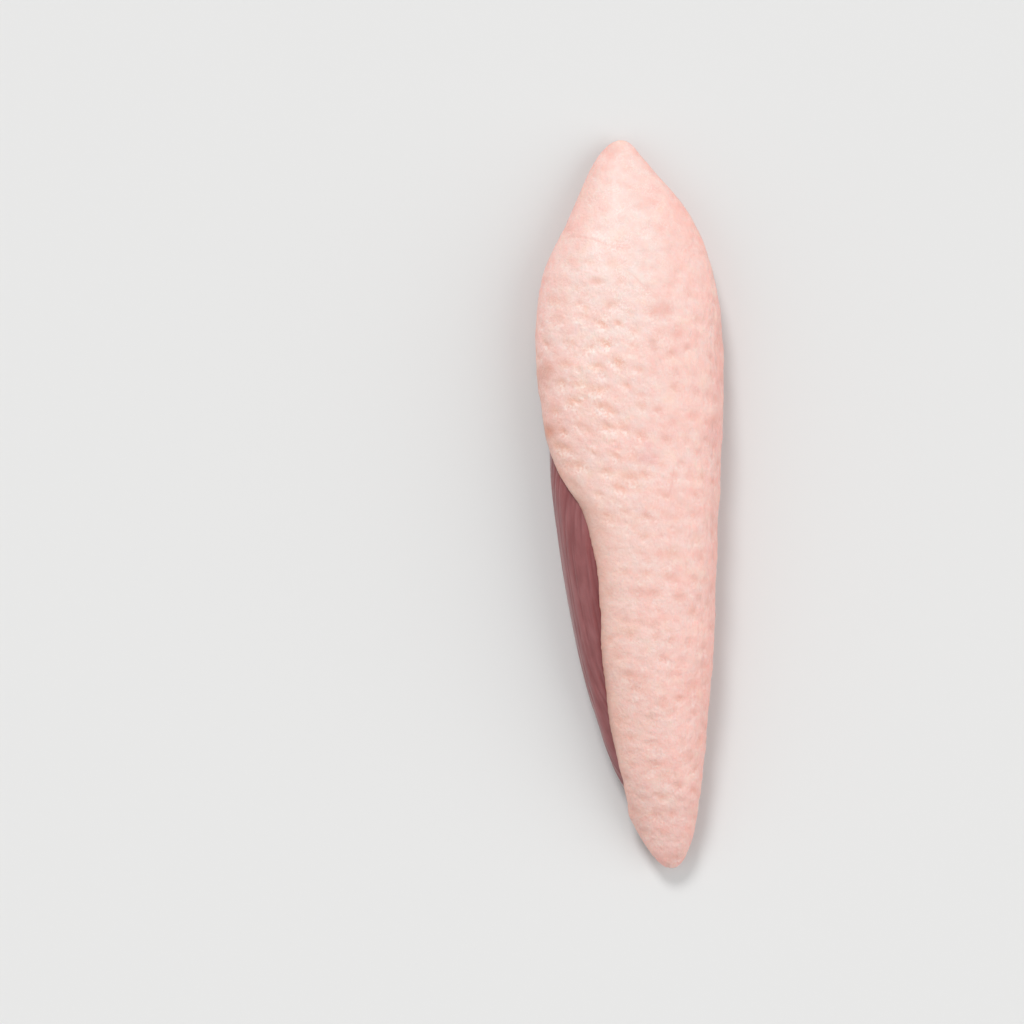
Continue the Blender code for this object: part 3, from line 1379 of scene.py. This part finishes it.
    def puckers(self, places: np.ndarray, slack: np.ndarray) -> np.ndarray:
        """Raises the slanting folds and the fine crinkles between the follicles.

        Args:
            places: flat coordinates over the skin.
            slack: how slack the skin is at each place, from 0 to 1.

        Returns:
            The height at each place.
        """
        lean = math.radians(self.lean_deg)
        turned = places @ np.array(
            [[math.cos(lean), -math.sin(lean)], [math.sin(lean), math.cos(lean)]]
        )
        folds = lumps(turned * (self.fold_stretch, 1.0), self.fold_size, Shift.FOLDS)
        cells = lumps(turned * (self.crinkle_stretch, 1.0), self.crinkle_size, Shift.CRINKLES)
        crinkles = 0.5 - 2 * np.abs(cells)
        folded = self.fold_when_taut + (1 - self.fold_when_taut) * slack
        crinkled = self.crinkle_when_taut + (1 - self.crinkle_when_taut) * slack
        height = self.fold_height * folded * folds
        return height + self.crinkle_height * crinkled * crinkles

    def wrinkles(self, points: np.ndarray, places: np.ndarray) -> np.ndarray:
        """Raises the fine lengthwise wrinkles down the right side.

        Args:
            points: the points, one a row.
            places: their flat coordinates.

        Returns:
            The height at each point.
        """
        squeezed = places * (1.0, self.wrinkle_stretch)
        fine = lumps(squeezed, self.wrinkle_size, Shift.WRINKLES)
        return self.wrinkle_height * self.skin_map.wrinkled_side.over(points) * fine


@dataclass
class DuckMeat:
    """The breast muscle, bare on the left flank and all over the underside."""

    node: str = "lean_meat"
    name: str = "duck_meat"
    slot: str = "meat"
    levels: int = 3
    hidden_kept: float = 0.08
    cover_reach: float = 4.0 * MILLIMETRE
    swell_to_fat: float = 0.35 * MILLIMETRE
    swell_from: float = 0.5 * MILLIMETRE
    swell_full: float = 3.5 * MILLIMETRE
    bundle_height: float = 0.16 * MILLIMETRE
    bundle_size: float = 2.6 * MILLIMETRE
    bundle_stretch: float = 0.07
    furrow_sharpness: float = 3.0
    furrow_shown: Range = (0.55, 0.95)
    below_slope: Range = (-0.3, -0.9)
    membrane_least: float = 0.2
    membrane_more_below: float = 0.5
    finish: MeatFinish = MeatFinish()

    def build(self, skin: bpy.types.Object) -> bpy.types.Object:
        """Models, dresses and places the meat.

        Args:
            skin: the finished skin, which covers part of the meat.

        Returns:
            The meat.
        """
        piece = copy_of_node(self.node, self.name)
        finish_with(piece, "SUBSURF", levels=self.levels, render_levels=self.levels)
        covered = self.covered(piece, skin)
        under = self.way_under(piece, covered)
        self.raise_relief(piece, under)
        thin_out(piece, under > self.swell_full, self.hidden_kept)
        take_up(piece)
        bpy.ops.object.shade_smooth()
        piece.data.materials.append(self.finish.material())
        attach(piece, "root")
        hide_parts(self.node)
        return piece

    def covered(self, piece: bpy.types.Object, skin: bpy.types.Object) -> np.ndarray:
        """Finds the points of the meat that lie close under the skin.

        Args:
            piece: the meat.
            skin: the finished skin.

        Returns:
            True for each such point.
        """
        cover = BVHTree.FromObject(skin, bpy.context.evaluated_depsgraph_get())
        points = points_of(piece)
        ways = normals_of(piece)
        hits = [
            cover.ray_cast(Vector(point), Vector(way), self.cover_reach)[0] is not None
            for point, way in zip(points.tolist(), ways.tolist())
        ]
        return np.array(hits)

    @staticmethod
    def way_under(piece: bpy.types.Object, covered: np.ndarray) -> np.ndarray:
        """Measures how far in under the skin each point lies.

        Args:
            piece: the meat.
            covered: True for each point under the skin.

        Returns:
            Each point's distance from the nearest bare one.
        """
        points = points_of(piece)
        bare = tree_of(points[~covered])
        return np.array([bare.find(point)[2] for point in points.tolist()])

    def raise_relief(self, piece: bpy.types.Object, under: np.ndarray) -> None:
        """Draws the muscle's bundles and closes the seam under the fat.

        Args:
            piece: the meat.
            under: how far in under the skin each point lies.
        """
        points = points_of(piece)
        normals = normals_of(piece)
        places = Unrolled(points).places_from_below(points)
        turn = math.radians(ALONG_THE_GRAIN_DEG)
        across = places[:, 0] * math.cos(turn) - places[:, 1] * math.sin(turn)
        along = places[:, 0] * math.sin(turn) + places[:, 1] * math.cos(turn)
        stretched = np.column_stack((across, along * self.bundle_stretch))
        bundles = lumps(stretched, self.bundle_size, Shift.BUNDLES)
        ridges = 1 - np.abs(bundles) * self.furrow_sharpness
        furrows = smooth_step(*self.furrow_shown, ridges)
        height = self.swell_to_fat * smooth_step(self.swell_from, self.swell_full, under)
        height -= self.bundle_height * furrows
        raised = points + normals * height[:, None]
        raised[:, 2] = np.maximum(raised[:, 2], 0.0)
        move_points(piece, raised)
        below = smooth_step(*self.below_slope, normals[:, 2])
        keep_field(piece, "membrane", self.membrane_least + self.membrane_more_below * below)
        # where the painted shade of the furrows lies; the furrows are also pressed in
        keep_field(piece, "furrow_shade", furrows)
        keep_flat_places(piece, places)


@dataclass(frozen=True)
class SoftLight:
    """A soft light from far off, which is as strong at every place."""

    name: str
    towards: tuple[float, float, float]
    strength: float
    softness_deg: float

    def hang(self) -> None:
        """Adds the light to the scene."""
        lamp = bpy.data.lights.new(self.name, "SUN")
        lamp.energy = self.strength
        lamp.angle = math.radians(self.softness_deg)
        light = bpy.data.objects.new(self.name, lamp)
        light.rotation_euler = Vector(self.towards).to_track_quat("Z", "Y").to_euler()
        bpy.context.scene.collection.objects.link(light)


@dataclass
class Studio:
    """A pale floor, soft lights and a camera that looks straight down as the photograph does."""

    floor_side: float = 60.0
    camera_height: float = 1.2
    focus_height: float = 8 * MILLIMETRE
    sensor: float = 36.0
    sky: float = 0.455
    lights: tuple[SoftLight, ...] = (
        SoftLight("top_light", (-0.22, 0.72, 0.66), 1.62, 16.0),
        SoftLight("right_light", (0.80, -0.10, 0.60), 1.19, 60.0),
        SoftLight("left_light", (-0.80, -0.20, 0.60), 0.50, 60.0),
    )

    def build(self) -> None:
        """Sets up the floor, the light and the camera."""
        self.lay_floor()
        for light in self.lights:
            light.hang()
        self.add_sky()
        self.add_camera()
        bpy.context.scene.view_settings.view_transform = "Standard"

    def lay_floor(self) -> None:
        """Lays the floor under the fillet."""
        bpy.ops.mesh.primitive_plane_add(size=self.floor_side, location=(0.0, 0.0, 0.0))
        floor = bpy.context.object
        floor.name = "pale_floor"
        floor.data.materials.append(FloorFinish().material())

    def add_sky(self) -> None:
        """Lights the scene evenly from all around."""
        world = bpy.data.worlds.new("soft_surround")
        world.use_nodes = True
        backdrop = world.node_tree.nodes["Background"]
        backdrop.inputs["Color"].default_value = (1.0, 1.0, 1.0, 1.0)
        backdrop.inputs["Strength"].default_value = self.sky
        bpy.context.scene.world = world

    def add_camera(self) -> None:
        """Hangs the camera over the middle of the photograph's frame."""
        x, y = PHOTO.place(PHOTO.side / 2, PHOTO.side / 2)
        lens = bpy.data.cameras.new("camera")
        lens.sensor_width = self.sensor
        distance = self.camera_height - self.focus_height
        lens.lens = self.sensor * distance / (PHOTO.side * PHOTO.pixel)
        camera = bpy.data.objects.new("camera", lens)
        camera.location = (x, y, self.camera_height)
        bpy.context.scene.collection.objects.link(camera)
        bpy.context.scene.camera = camera


def log_piece(piece: bpy.types.Object) -> None:
    """Reports a finished piece."""
    piece.data.calc_loop_triangles()
    LOG.info("%s: %d triangles", piece.name, len(piece.data.loop_triangles))


def main() -> None:
    """Builds the studio and the fillet."""
    logging.basicConfig(level=logging.INFO, format="%(message)s")
    Studio().build()
    skin = DuckSkin().build()
    log_piece(skin)
    log_piece(DuckMeat().build(skin))


if __name__ == "__main__":
    main()
